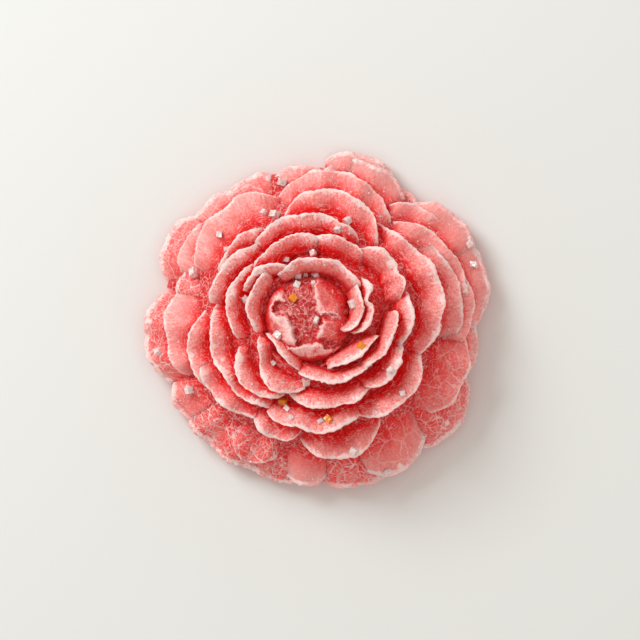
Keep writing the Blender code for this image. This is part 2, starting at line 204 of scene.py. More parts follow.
# The turned core and the bud's ball with its shallow hollow, as radius and height.
CORE_PROFILE = [
    (0.0, 21.0), (9.5, 22.4), (11.0, 23.4), (12.4, 23.6), (14.5, 22.0), (17.0, 20.8), (19.5, 19.2),
    (22.0, 17.8), (24.5, 15.2), (27.0, 12.4), (29.5, 9.2), (32.6, 6.2), (34.0, 4.0), (33.0, 0.0), (0.0, 0.0),
]
BUD_CENTRE = (-1.8, 0.7)
BUD_PROFILE = [
    (0.0, 26.7), (4.0, 26.7), (6.5, 26.3), (8.0, 25.2), (9.1, 23.0), (9.5, 19.5), (9.5, 17.0), (0.0, 16.0),
]


class Ridge(NamedTuple):
    """A torn edge on the bud, in millimetres, with the lobe on the right of its line of travel.

    height is how far it stands over the bud's dome, reach how far its lobe slopes away and frost
    how far the white crust runs in over the lobe.
    """

    height: float
    reach: float
    frost: float
    line: list


BUD_RIDGES = [
    Ridge(1.7, 4.0, 2.2, [
        (5.0, 1.0), (3.3, 1.8), (1.9, 1.9), (0.7, 1.7), (0.4, 2.5), (0.1, 4.1), (-0.3, 6.9), (0.2, 9.4),
    ]),
    Ridge(1.3, 3.0, 2.0, [(0.2, -3.9), (0.4, -2.7), (1.0, -1.6), (1.4, -0.4), (1.3, 0.4), (1.3, 1.1)]),
    Ridge(1.0, 2.2, 1.0, [(1.2, 1.1), (1.9, 1.4), (3.3, 1.3), (5.0, 0.6)]),
    Ridge(1.7, 2.6, 4.0, [
        (-7.2, -4.6), (-5.8, -5.5), (-4.6, -5.8), (-3.5, -5.3), (-1.8, -5.1), (0.2, -4.9), (1.2, -5.3),
        (1.7, -6.1), (3.0, -6.2), (4.4, -5.8), (6.0, -5.0),
    ]),
    Ridge(2.0, 3.2, 2.6, [
        (-7.0, 4.5), (-8.3, 4.6), (-9.2, 4.1), (-9.7, 2.9), (-9.3, 1.5), (-8.2, 0.8), (-7.0, 0.8),
        (-6.2, 0.1), (-5.7, -1.2), (-5.3, -2.7), (-4.9, -4.1), (-4.5, -5.4),
    ]),
]

# Coarse sugar, as bearing, radius and the side of the crystal.
ROCK_SUGAR = [
    (112, 24.6, 2.0), (116, 26.3, 1.2), (73, 22.8, 1.3), (77, 20.2, 1.2), (93, 14.9, 1.3), (116, 15.0, 1.2),
    (138, 28.2, 1.3), (141, 24.7, 1.4), (163, 16.3, 1.4), (112, 10.7, 1.2), (105, 10.1, 1.1), (91, 9.6, 1.5),
    (117, 8.9, 1.2), (94, 8.0, 1.0), (26, 8.6, 1.6), (133, 0.3, 1.3), (199, 8.5, 1.7), (223, 12.7, 1.4),
    (259, 13.2, 1.5), (285, 10.4, 0.8), (251, 19.7, 1.2), (255, 21.1, 1.2), (158, 28.8, 1.7),
    (104, 31.2, 1.6), (27, 37.1, 1.2), (20, 36.3, 1.3), (295, 36.2, 1.4), (272, 21.3, 1.2),
    (208, 31.5, 1.6), (191, 35.2, 1.5), (286, 28.9, 1.4), (327, 18.8, 1.2), (320, 23.9, 1.3),
]
AMBER_SUGAR = [(136, 7.1, 1.5), (331, 10.9, 1.5), (247, 18.8, 1.5), (277, 21.0, 1.5)]

# Clumps of sugar crust on rims and faces, as bearing, radius and width.
CRUST_CLUMPS = [
    (138, 16.9, 2.9), (160, 18.6, 2.4), (176, 17.4, 1.6), (150, 23.0, 1.4), (38, 19.9, 2.4), (34, 13.2, 2.4),
    (196, 15.5, 3.0), (206, 18.0, 2.6), (104, 31.2, 1.9), (109, 33.1, 1.7), (112, 24.2, 1.7),
    (97, 22.8, 1.3), (157, 28.7, 1.4), (334, 19.5, 1.7), (325, 18.8, 1.6), (202, 21.5, 1.6),
    (227, 16.0, 1.2), (207, 31.6, 1.9), (180, 36.6, 1.5), (9, 27.4, 1.0), (281, 29.8, 1.6),
    (300, 36.4, 1.8), (322, 36.0, 1.4), (20, 36.5, 1.3),
]

# Rows of faces along a petal, round its rim and down a base petal's side, and the fewest columns.
FACE_ROWS = 26
EDGE_ROWS = 6
SIDE_ROWS = 10
MIN_COLUMNS = 24
# Rows of faces lie closer to the rim than to the root.
ROW_CROWDING = 0.55
# Faces of the core and the bud, as a share of a petal's face width.
CORE_STEP = 1.3
BUD_STEP = 0.85
# How much thinner a petal's two ends are, and how close to them that starts.
END_TAPER = 0.55
END_POWER = 6
# Ragged rims: wavelength and how far each wave goes out and up, and by how much a wave is stretched.
RIM_WAVES = [(9.1, 0.22, 0.22), (4.3, 0.07, 0.08), (1.5, 0.06, 0.04)]
WAVE_STRETCH = (0.8, 1.25)
# How far down the face a wave reaches, as a share of its length.
WAVE_FADE = 0.35
# Uneven rims: wavelength and share by which the wall grows and thins.
WALL_WAVES = [(7.3, 0.22), (2.9, 0.14), (1.7, 0.10)]
# How far from the rim the crust reaches, and how much of it the back of a petal has.
RIM_REACH = 0.7
BACK_CRUST = 0.4
# Each petal's pattern starts somewhere within this length, so that no two petals look the same.
ACROSS_SHIFT = 900
# Stands for a place that no rim is near.
FAR_INWARDS = 30.0

# The bud's torn ridges: raggedness, the length over which they taper, how high and how far past
# their ends they still stand, how steep they drop and how roundly their lobes slope away.
RIDGE_WAVES = [(2.6, 0.10), (1.3, 0.08), (0.7, 0.06)]
RIDGE_TAPER = 1.4
RIDGE_END = 0.3
RIDGE_FADE = 0.7
RIDGE_CLIFF = 0.35
RIDGE_POWER = 1.4
# Above this height the tops of the bud and the core start.
BUD_SIDE_HEIGHT = 21.0
# The bud's floor shows where its ridges lift it by less than this.
BUD_FLOOR_LIFT = 0.5
# How much redder the bud is than the petals, and how far its lobes have cracked.
BUD_REDNESS = 0.15
BUD_CRACKED = 0.25
# Share of the bare jelly's colour on the bud's lobes and on the core, and how far the core has cracked.
BUD_BARE = 0.4
CORE_BARE = 0.6
CORE_CRACKED = 0.8
# Below this height the core looks less and less crumbly.
CORE_FLOOR_HEIGHT = 4.0
# The jelly is redder close round the bud, within these radii.
BLUSH_RADII = (17.0, 9.0)
BLUSH = 0.07
# The thin lip of the core round the bud, and how much it is crusted.
LIP_RADIUS = 10.5
LIP_WIDTH = 0.4
LIP_HEIGHT = 0.8
LIP_CRUST = 0.6
# Waves that bend the lip: their number round it, their depth and where they start.
LIP_WAVES = [(3, 0.25, 1.0), (8, 0.12, 0.0)]

# Over what length the borders of the cracked plates stray, and how far.
CRACK_WANDER = (1.6, 0.7)
# The relief starts at the floor and is whole at this height, so that the back stays flat.
RELIEF_START = 1.5
# Patches of strewn fine sugar, as their number on a metre, about 7 mm each.
SUGAR_PATCHES = 140.0
# Smallest and largest side of a fine grain and of a coarse crystal, as a share of the usual one.
GRAIN_SIDES = (0.5, 1.3)
CRYSTAL_SIDES = (0.7, 1.1)
# How far a crystal's middle stands over the petal, as a share of its side.
CRYSTAL_STAND = 0.2
# Width and depth of the chips in a coarse crystal.
CHIP_WIDTH = 0.9
CHIP_DEPTH = 0.45

# The jelly's patches: size, detail and roughness of its blotches, of the stretches of crusted rim,
# of the stretches with crack lines, of the gaps in these lines, of the lumps of rime and of the grit.
JELLY_PATCHES = [
    (1.8, 4.0, 0.5), (4.5, 2.0, 0.5), (1.6, 3.0, 0.5), (0.9, 2.0, 0.5), (0.8, 3.0, 0.6), (1.0, 3.0, 0.5),
]
# Between these heights the petals turn from jelly to frost.
UPPER_HEIGHTS = (10.0, 22.0)
# Width of the cells that crack lines run between, and width of a line as a share of a cell. The
# coarse lines run between the plates.
LONG_CRACKS = (4.5, 0.024)
FINE_CRACKS = (1.5, 0.085)
COARSE_CRACK = 0.055
# Real frost is under 0.1 mm, too fine to show, so its grains are drawn as coarse as they need to show.
GRAIN_WIDTH = 0.28
# Width of the cloudy patches in a sugar crystal, which carry its fine relief and the painted
# see-through pink of the candy under it.
CLOUD_WIDTH = 0.6
# Strength and height of the fine relief that only the light shows.
JELLY_BUMP = (0.7, 0.16)
SUGAR_BUMP = (0.4, 0.06)

# The height map that says how deep in a crease each place lies: the side of a cell, the half width,
# the directions and distances in which it looks, and how much more it heeds a face that looks up.
MAP_CELL = 0.45
MAP_HALF = 42.0
MAP_DIRECTIONS = 12
MAP_DISTANCES = (0.9, 1.8, 2.8, 4.0, 5.5, 7.5)
MAP_UPWARDS = 1.2

# The stage, in metres: the floor's half side, and name, place, watts, side and colour of each light.
FLOOR_HALF = 3.0
LIGHTS = [
    ("key", (-0.42, 0.40, 0.50), 3.9, 0.34, "#FAFFFF"),
    ("fill", (0.50, -0.20, 0.60), 0.4, 0.60, "#FFFFFF"),
]
# The light all round.
WORLD_COLOUR = "#FFF1E8"
WORLD_STRENGTH = 0.66
# The view, in metres: straight down from a stand. The sensor and the shift, which puts the blossom's
# centre a little left of the middle, are in millimetres.
CAMERA_HEIGHT = 0.6
VIEW_WIDTH = 0.1408
VIEW_PLANE = 0.005
SENSOR_WIDTH = 36.0
VIEW_SHIFT = (0.66, 0.33)

# Kinds of node with their settings. TIMES_PLUS multiplies two values and adds a third.
PLUS, MINUS, TIMES, TIMES_PLUS, OVER, LARGER, ABSOLUTE, EXPONENT = (
    ("ShaderNodeMath", {"operation": name})
    for name in ("ADD", "SUBTRACT", "MULTIPLY", "MULTIPLY_ADD", "DIVIDE", "MAXIMUM", "ABSOLUTE", "EXPONENT")
)
SMOOTH = ("ShaderNodeMapRange", {"interpolation_type": "SMOOTHSTEP"})
NOISE = "ShaderNodeTexNoise"
CELLS, BORDERS = (("ShaderNodeTexVoronoi", {"feature": name}) for name in ("F1", "DISTANCE_TO_EDGE"))
MIXED = ("ShaderNodeMix", {"data_type": "RGBA"})
PAIRED = "ShaderNodeCombineXYZ"
SPLIT = "ShaderNodeSeparateXYZ"
SCALED = ("ShaderNodeVectorMath", {"operation": "SCALE"})
STORED = ("GeometryNodeInputNamedAttribute", {"data_type": "FLOAT"})
POSITION = "GeometryNodeInputPosition"
NORMAL = "GeometryNodeInputNormal"
RANDOM_VECTOR = ("FunctionNodeRandomValue", {"data_type": "FLOAT_VECTOR"})


def linear(colour):
    """An sRGB hex colour, such as "#F0A090", as linear red, green, blue and alpha."""
    parts = [int(colour[i : i + 2], 16) / 255 for i in (1, 3, 5)]
    return (*[p / 12.92 if p <= 0.04045 else ((p + 0.055) / 1.055) ** 2.4 for p in parts], 1.0)


def add_node(tree, kind, *inputs, **settings):
    """Adds a node, sets its properties, and gives its inputs a value or a link each.

    A kind is a type, alone or with its usual settings. Inputs stand in the node's own order or in
    one dictionary, and a node among them is linked by its first output.
    """
    label, usual = (kind, {}) if isinstance(kind, str) else kind
    node = tree.nodes.new(label)
    for name, value in {**usual, **settings}.items():
        setattr(node, name, value)
    named = inputs[0] if inputs and isinstance(inputs[0], dict) else dict(enumerate(inputs))
    for name, value in named.items():
        if isinstance(value, bpy.types.Node):
            value = value.outputs[0]
        if isinstance(value, bpy.types.NodeSocket):
            tree.links.new(value, node.inputs[name])
        else:
            node.inputs[name].default_value = value
    return node


class CandySizes(bpy.types.PropertyGroup):
    """Sizes of the candy's finish."""

    column_step: FloatProperty(
        name="Face width", description="Width of a face along a petal's rim", default=0.26 * MM, unit="LENGTH"
    )
    crust_height: FloatProperty(
        name="Crust height", description="How high the crust stands", default=0.14 * MM, unit="LENGTH"
    )
    crust_grain: FloatProperty(
        name="Crust lump", description="Size of a lump in the crust", default=1.2 * MM, unit="LENGTH"
    )
    crumb_height: FloatProperty(
        name="Crumb height", description="How rough the creases are", default=0.35 * MM, unit="LENGTH"
    )
    wrinkle_height: FloatProperty(
        name="Wrinkle height", description="Height of folds along a petal", default=0.05 * MM, unit="LENGTH"
    )
    grain_height: FloatProperty(
        name="Frost height", description="Height of the fine frost", default=0.06 * MM, unit="LENGTH"
    )
    plate_width: FloatProperty(
        name="Plate width", description="Width of a plate of broken crust", default=2.4 * MM, unit="LENGTH"
    )
    plate_height: FloatProperty(
        name="Plate height", description="How far broken plates shift", default=0.35 * MM, unit="LENGTH"
    )
    sugar_side: FloatProperty(
        name="Fine sugar", description="Side of a fine sugar grain", default=0.28 * MM, unit="LENGTH"
    )
    sugar_density: FloatProperty(
        name="Fine sugar density", description="Most fine sugar grains on a square millimetre", default=0.7
    )
    strewn_share: FloatProperty(
        name="Strewn share", description="Share of the fine sugar that lies away from the rims", default=0.2
    )
    seed: IntProperty(name="Seed", description="Changes every random draw", default=4)


class CandyColours(bpy.types.PropertyGroup):
    """Colours of the candy."""

    flesh: FloatVectorProperty(
        name="Petal", description="A frosted petal face", subtype="COLOR", size=4, default=linear("#F0766F")
    )
    # Painted crease shade: the deep red that creases are painted, standing in for shade and the red glow of
    # light within the jelly; the grain's dark pits use it too.
    deep: FloatVectorProperty(
        name="Crease", description="The jelly in a crease", subtype="COLOR", size=4, default=linear("#EA080E")
    )
    bare: FloatVectorProperty(
        name="Bare jelly", description="Uncrusted jelly", subtype="COLOR", size=4, default=linear("#B8060A")
    )
    crust: FloatVectorProperty(
        name="Crust", description="The sugar crust", subtype="COLOR", size=4, default=linear("#FFBDBA")
    )
    rime: FloatVectorProperty(
        name="Rime", description="The thickest crust", subtype="COLOR", size=4, default=linear("#FFE3E0")
    )
    rock: FloatVectorProperty(
        name="Rock sugar", description="A clear crystal", subtype="COLOR", size=4, default=linear("#FFFAF7")
    )
    # Painted see-through: the pink of the red candy seen through a clear crystal, painted into the crystal's
    # colour.
    inside: FloatVectorProperty(
        name="Inside", description="Seen in a crystal", subtype="COLOR", size=4, default=linear("#F2AAA4")
    )
    amber: FloatVectorProperty(
        name="Amber sugar", description="An amber crystal", subtype="COLOR", size=4, default=linear("#F59A1E")
    )
    floor: FloatVectorProperty(
        name="Floor", description="The floor", subtype="COLOR", size=4, default=linear("#E2E7E6")
    )


def rim_line(whorl, petal, share):
    """Radius, height, bearing and arc length along a petal's rim, for an array of shares."""
    bearing = petal.bearing + petal.spread * share
    radius = petal.reach + petal.tilt * share - petal.fall * np.abs(share) ** RIM_POWER
    if petal.notch:
        middle, depth, width = petal.notch
        radius = radius - depth * np.exp(-(((bearing - middle) / width) ** 2))
    arc = math.radians(petal.spread) * petal.reach * share
    ruffle = whorl.ruffle * np.sin(math.tau * arc / RUFFLE_LENGTH + petal.bearing)
    dip = whorl.dip * np.abs(share) ** DIP_POWER
    height = whorl.rim_height + petal.level + petal.lean * share + ruffle - dip
    return radius, height, np.radians(bearing), arc


def rim_waves(arc, from_rim, draw):
    """How far a ragged rim strays outwards and upwards; short waves fade soonest down the face."""
    outwards = np.zeros(np.broadcast_shapes(arc.shape, from_rim.shape))
    upwards = outwards.copy()
    for length, out, up in RIM_WAVES:
        phase = draw.uniform(0, math.tau)
        turns = math.tau * arc / (length * draw.uniform(*WAVE_STRETCH)) + phase
        fade = np.exp(-from_rim / (WAVE_FADE * length))
        outwards += out * fade * np.sin(turns)
        upwards += up * fade * np.sin(turns + phase)
    return outwards, upwards


def petal_profile(root, belly, along):
    """Offset from the rim and unit direction of growth, for an array from 0 at the root to 1."""
    back = 1 - along
    out, up = (back * back * start + 2 * along * back * middle for start, middle in zip(root, belly))
    grow_out, grow_up = (
        2 * back * (middle - start) - 2 * along * middle for start, middle in zip(root, belly)
    )
    length = np.hypot(grow_out, grow_up)
    return out, up, grow_out / length, grow_up / length


class Skin:
    """Points, faces and point attributes of a mesh in the making, in millimetres."""

    def __init__(self):
        self.points = []
        self.faces = []
        self.values = {"rim": [], "across": [], "inwards": [], "cracked": []}
        self.count = 0

    def add_loops(self, loops, values):
        """Adds a closed skin through loops of points: one array of columns by loop points by 3."""
        columns, size, _ = loops.shape
        index = np.arange(columns * size).reshape(columns, size)
        after = np.roll(index, -1, axis=1)
        walls = np.stack([index[:-1], after[:-1], after[1:], index[1:]], axis=-1).reshape(-1, 4)
        pairs = np.arange(size // 2 - 1)
        corners = np.stack([pairs, size - 1 - pairs, size - 2 - pairs, pairs + 1], axis=-1)
        faces = np.concatenate([walls, index[0][corners], index[-1][corners][:, ::-1]])
        points = loops.reshape(-1, 3)
        a, b, c, d = (points[faces[:, corner]] for corner in range(4))
        volume = sum(np.einsum("ij,ij->i", a, np.cross(*sides)).sum() for sides in ((b, c), (c, d)))
        if volume < 0:
            faces = faces[:, ::-1]
        self.points.append(points)
        self.faces.append(faces + self.count)
        self.count += len(points)
        for name, stored in self.values.items():
            stored.append(np.broadcast_to(values[name], (columns, size)).reshape(-1))

    def arrays(self):
        """All points, faces and values so far."""
        values = {name: np.concatenate(stored) for name, stored in self.values.items()}
        return np.concatenate(self.points), np.concatenate(self.faces), values


def add_petal(skin, ring, petal, column_step, draw):
    """Adds one petal: its face, its rounded rim and its back, as loops along the rim."""
    whorl = WHORLS[ring]
    rim_length = 2 * math.radians(petal.spread) * petal.reach
    columns = max(MIN_COLUMNS, round(rim_length / column_step))
    share = np.linspace(-1, 1, columns + 1)[:, None]
    radius, height, bearing, arc = rim_line(whorl, petal, share)
    radius = radius - whorl.rim_wall / 2
    back = np.linspace(1, 0, FACE_ROWS + 1)[None, :]
    along = 1 - ROW_CROWDING * back - (1 - ROW_CROWDING) * back * back
    out, up, grow_out, grow_up = petal_profile(whorl.root, whorl.belly, along)
    wall = whorl.root_wall + (whorl.rim_wall - whorl.root_wall) * along
    wall = wall * (1 - END_TAPER * np.abs(share) ** END_POWER)
    for length, change in WALL_WAVES:
        wall = wall * (1 + change * np.sin(math.tau * arc / length + draw.uniform(0, math.tau)))
    from_rim = np.hypot(out, up)
    stray_out, stray_up = rim_waves(arc, from_rim, draw)
    radius = radius + stray_out[:, -1:]
    height = height + stray_up[:, -1:]
    face_r = radius + out + stray_out - stray_out[:, -1:]
    face_z = height + up + stray_up - stray_up[:, -1:]
    if ring == "base":
        back_r = face_r * FOOT_SCALE
        back_z = np.zeros_like(face_z)
        corner = whorl.rim_wall / 2
        turn = np.linspace(0, math.pi / 2, EDGE_ROWS + 1)[None, 1:]
        edge_r = radius + corner * np.sin(turn)
        edge_z = height - corner * (1 - np.cos(turn))
        down = np.linspace(0, 1, SIDE_ROWS + 1)[None, 1:-1]
        bulge = np.sin(math.pi * down) * corner / 2
        side_r = edge_r[:, -1:] + (back_r[:, -1:] - edge_r[:, -1:]) * down**2 + bulge
        side_z = edge_z[:, -1:] * (1 - down)
        edge_r = np.concatenate([edge_r, side_r], axis=1)
        edge_z = np.concatenate([edge_z, side_z], axis=1)
    else:
        back_r = face_r + wall * grow_up
        back_z = face_z - wall * grow_out
        turn = np.linspace(0, math.pi, EDGE_ROWS + 2)[None, 1:-1]
        half = wall[:, -1:] / 2
        tip_out, tip_up = grow_out[..., -1:], grow_up[..., -1:]
        edge_r = radius + half * tip_up * (1 - np.cos(turn)) + np.abs(half) * tip_out * np.sin(turn)
        edge_z = height - half * tip_out * (1 - np.cos(turn)) + np.abs(half) * tip_up * np.sin(turn)
    loop_r = np.concatenate([face_r, edge_r, back_r[:, ::-1]], axis=1)
    loop_z = np.concatenate([face_z, edge_z, back_z[:, ::-1]], axis=1)
    points = np.stack([loop_r * np.cos(bearing), loop_r * np.sin(bearing), loop_z], axis=-1)
    points += np.array([*BLOSSOM_CENTRE, 0.0])
    face_rim = np.broadcast_to(np.exp(-((from_rim / RIM_REACH) ** 2)), face_r.shape)
    edge_rim = np.ones_like(edge_r) * np.linspace(1, 0.5, edge_r.shape[1])
    face_in = np.broadcast_to(from_rim, face_r.shape)
    rims = np.concatenate([face_rim, edge_rim, BACK_CRUST * face_rim[:, ::-1]], axis=1)
    values = {
        "rim": rims * whorl.crust,
        "across": arc + draw.uniform(0, ACROSS_SHIFT),
        "inwards": np.concatenate([face_in, np.zeros_like(edge_r), face_in[:, ::-1]], axis=1),
        "cracked": petal.cracked,
    }
    skin.add_loops(points, values)


def turned_skin(profile, step, cracked, centre=(0.0, 0.0)):
    """A turned solid with even faces, from a profile that starts and ends on its axis."""
    corners = np.array(profile)
    lengths = np.hypot(*np.diff(corners, axis=0).T)
    travelled = np.concatenate([[0], np.cumsum(lengths)])
    places = np.append(np.linspace(0, travelled[-2], round(travelled[-2] / step) + 1), travelled[-1])
    radius, height = (np.interp(places, travelled, corners[:, column]) for column in (0, 1))
    segments = max(MIN_COLUMNS, round(math.tau * corners[:, 0].max() / step))
    angle = np.linspace(0, math.tau, segments, endpoint=False)
    x, y = centre
    rings = [[x, y, height[0]], [x, y, height[-1]]]
    for r, z in zip(radius[1:-1], height[1:-1]):
        rings.extend(np.stack([x + r * np.cos(angle), y + r * np.sin(angle), z + 0 * angle], axis=1))
    points = np.array(rings) + np.array([*BLOSSOM_CENTRE, 0.0])
    here = np.arange(segments)
    after = (here + 1) % segments
    last = 2 + (len(places) - 3) * segments
    ring = np.stack([here, segments + here, segments + after, after], axis=1)
    quads = np.concatenate([first + ring for first in range(2, last, segments)])
    top = np.stack([0 * here, 2 + here, 2 + after], axis=1)
    bottom = np.stack([0 * here + 1, last + after, last + here], axis=1)
    faces = [*quads.tolist(), *top.tolist(), *bottom.tolist()]
    values = {label: np.zeros(len(points)) for label in ("rim", "across", "inwards")}
    values["cracked"] = np.full(len(points), cracked)
    return points, faces, values


def smooth_line(corners, step):
    """A Catmull-Rom curve through corners, with its directions and the distance travelled."""
    corners = np.array(corners)
    guides = np.concatenate([2 * corners[:1] - corners[1:2], corners, 2 * corners[-1:] - corners[-2:-1]])
    pieces = []
    for a, b, c, d in zip(guides, guides[1:], guides[2:], guides[3:]):
        t = np.linspace(0, 1, max(2, round(math.dist(b, c) / step)), endpoint=False)[:, None]
        bend = (a - 2.5 * b + 2 * c - d / 2) * t**2
        pieces.append(b + (c - a) * t / 2 + bend + (1.5 * (b - c) + (d - a) / 2) * t**3)
    line = np.concatenate([*pieces, corners[-1:]])
    ahead = np.gradient(line, axis=0)
    lengths = np.hypot(*ahead.T)
    steps = np.hypot(*np.diff(line, axis=0).T)
    return line, ahead / lengths[:, None], np.concatenate([[0], np.cumsum(steps)])


def bud_skin(step, draw):
    """The bud: a turned dome whose top is torn into lobes along its ridges."""
    points, faces, values = turned_skin(BUD_PROFILE, step, 0, BUD_CENTRE)
    places = points[:, :2] - np.array(BLOSSOM_CENTRE)
    here = np.arange(len(points))
    lift = np.zeros(len(points))
    values["inwards"] = np.full(len(points), FAR_INWARDS)
    for order, ridge in enumerate(BUD_RIDGES):
        line, ahead, travelled = smooth_line(ridge.line, step)
        gaps = places[:, None, :] - line[None, :, :]
        distance = np.hypot(gaps[..., 0], gaps[..., 1])
        nearest = distance.argmin(axis=1)
        gap, along = gaps[here, nearest], ahead[nearest]
        side = np.sign(along[:, 1] * gap[:, 0] - along[:, 0] * gap[:, 1])
        away = side * distance[here, nearest]
        way = travelled[nearest]
        for length, depth in RIDGE_WAVES:
            away = away + depth * np.sin(math.tau * way / length + draw.uniform(0, math.tau))
        on_lobe = away > 0
        ends = np.minimum(way, travelled[-1] - way)
        beyond = (nearest == 0) | (nearest == len(line) - 1)
        strength = RIDGE_END + (1 - RIDGE_END) * np.clip(ends / RIDGE_TAPER, 0, 1)
        strength = strength * np.where(beyond, np.exp(-((away / RIDGE_FADE) ** 2)), 1)
        gentle = np.exp(-((np.abs(away) / ridge.reach) ** RIDGE_POWER))
        slope = np.where(on_lobe, gentle, np.exp(-((away / RIDGE_CLIFF) ** 2)))
        edge = np.exp(-((away / np.where(on_lobe, RIM_REACH, RIDGE_CLIFF)) ** 2))
        values["rim"] = np.maximum(values["rim"], min(1, ridge.height) * strength * edge)
        faded = np.where(on_lobe, away * RIM_REACH * 2 / ridge.frost, -away * RIM_REACH / RIDGE_CLIFF)
        inwards = faded / np.maximum(strength, 0.01)
        closer = inwards < values["inwards"]
        values["across"] = np.where(closer, way + order * FAR_INWARDS, values["across"])
        values["inwards"] = np.minimum(values["inwards"], inwards)
        lift = np.maximum(lift, ridge.height * strength * slope)
    top = np.clip((points[:, 2] - BUD_SIDE_HEIGHT) / 2, 0, 1)
    points[:, 2] += lift * top
    floor = np.clip(1 - lift / BUD_FLOOR_LIFT, 0, 1) * top
    values["cracked"] = BUD_CRACKED + (1 - BUD_CRACKED) * floor
    values["floor"] = np.maximum(floor, BUD_BARE)
    values["bare"] = values["floor"]
    return points, faces, values


def core_skin(step):
    """The turned core, whose crumbly top shows red between the petals, with a thin lip round the bud."""
    points, faces, values = turned_skin(CORE_PROFILE, step, CORE_CRACKED)
    x, y = (points[:, axis] - BLOSSOM_CENTRE[axis] - BUD_CENTRE[axis] for axis in (0, 1))
    turn = np.arctan2(y, x)
    waves = (depth * np.sin(count * turn + start) for count, depth, start in LIP_WAVES)
    lip_radius = sum(waves, LIP_RADIUS)
    lip = np.exp(-(((np.hypot(x, y) - lip_radius) / LIP_WIDTH) ** 2)) * (points[:, 2] > BUD_SIDE_HEIGHT)
    values["floor"] = np.clip(points[:, 2] / CORE_FLOOR_HEIGHT, 0, 1) * (1 - LIP_CRUST * lip)
    values["bare"] = CORE_BARE * values["floor"]
    points[:, 2] += LIP_HEIGHT * lip
    values["rim"] = LIP_CRUST * lip
    values["inwards"] = FAR_INWARDS * (1 - lip)
    values["across"] = turn * LIP_RADIUS
    return points, faces, values


class HeightMap:
    """The blossom's top surface on a square grid, which tells how deep in a crease a place lies."""

    def __init__(self, points):
        self.cells = int(2 * MAP_HALF / MAP_CELL) + 1
        self.top = np.zeros((self.cells, self.cells))
        column, row = self.cell(points[:, 0], points[:, 1])
        np.maximum.at(self.top, (column, row), points[:, 2])
        shifted = [np.roll(self.top, shift, (0, 1)) for shift in ((1, 0), (-1, 0), (0, 1), (0, -1))]
        self.top = np.where(self.top == 0, np.max(shifted, axis=0), self.top)

    def cell(self, x, y):
        """Grid places of points."""
        return tuple(
            np.clip(((v + MAP_HALF) / MAP_CELL).astype(int), 0, self.cells - 1) for v in (x, y)
        )

    def depth(self, points, normals):
        """From 0 in the open to 1 deep between petals: the height of the skyline before a place."""
        x, y, z = points.T
        total = np.zeros(len(points))
        weights = np.full(len(points), 0.01)
        for angle in math.tau * np.arange(MAP_DIRECTIONS) / MAP_DIRECTIONS:
            ahead_x, ahead_y = math.cos(angle), math.sin(angle)
            steepest = np.zeros(len(points))
            for distance in MAP_DISTANCES:
                place = self.cell(x + distance * ahead_x, y + distance * ahead_y)
                steepest = np.maximum(steepest, np.arctan2(self.top[place] - z, distance))
            facing = normals[:, 0] * ahead_x + normals[:, 1] * ahead_y
            weight = np.clip(facing + MAP_UPWARDS * normals[:, 2], 0, MAP_UPWARDS)
            total += weight * steepest / (math.pi / 2)
            weights += weight
        hidden = np.clip(-2 * normals[:, 2], 0, 1)
        return np.maximum(total / weights, hidden)


def corner_normals(points, faces):
    """Unit normals at the points, from the faces round them."""
    sums = np.zeros_like(points)
    groups = [faces]
    if isinstance(faces, list):
        groups = [np.array([face for face in faces if len(face) == size]) for size in (4, 3)]
    for corners in groups:
        a, b, c = (points[corners[:, column]] for column in range(3))
        normal = np.cross(b - a, c - a)
        for column in corners.T:
            np.add.at(sums, column, normal)
    return sums / np.maximum(np.linalg.norm(sums, axis=1, keepdims=True), 1e-9)


def skin_object(name, points, faces, values):
    """An object from millimetre points, with its values as point attributes."""
    mesh = bpy.data.meshes.new(name)
    mesh.from_pydata((points * MM).tolist(), [], faces if isinstance(faces, list) else faces.tolist())
    for attribute, array in values.items():
        layer = mesh.attributes.new(attribute, "FLOAT", "POINT")
        layer.data.foreach_set("value", np.ascontiguousarray(array, dtype=np.float32))
    mesh.shade_smooth()
    return linked_object(name, mesh)


def linked_object(name, data):
    """A new object in the scene."""
    made = bpy.data.objects.new(name, data)
    bpy.context.scene.collection.objects.link(made)
    return made


def new_geometry_tree(name, inputs):
    """A Geometry Nodes tree, a function that adds nodes to it, and the sockets of its named inputs."""
    tree = bpy.data.node_groups.new(name, "GeometryNodeTree")
    tree.interface.new_socket("Geometry", in_out="OUTPUT", socket_type="NodeSocketGeometry")
    for label, kind in {"Geometry": "Geometry", **inputs, "Material": "Material"}.items():
        tree.interface.new_socket(label, in_out="INPUT", socket_type=f"NodeSocket{kind}")
    add = partial(add_node, tree)
    return tree, add, add("NodeGroupInput").outputs


def finish_geometry_tree(add, geometry, material):
    """The end of each tree: plain geometry with its material."""
    real = add("GeometryNodeRealizeInstances", geometry)
    add("NodeGroupOutput", add("GeometryNodeSetMaterial", {"Geometry": real, "Material": material}))


def bent_places(add, place):
    """Places that stray a little, so that the borders of the cracked plates do."""
    length, stray = (value * MM for value in CRACK_WANDER)
    wander = add(NOISE, {"Vector": place, "Scale": 1 / length, "Detail": 1.0}).outputs["Color"]
    return add("ShaderNodeVectorMath", wander, (stray,) * 3, place, operation="MULTIPLY_ADD")


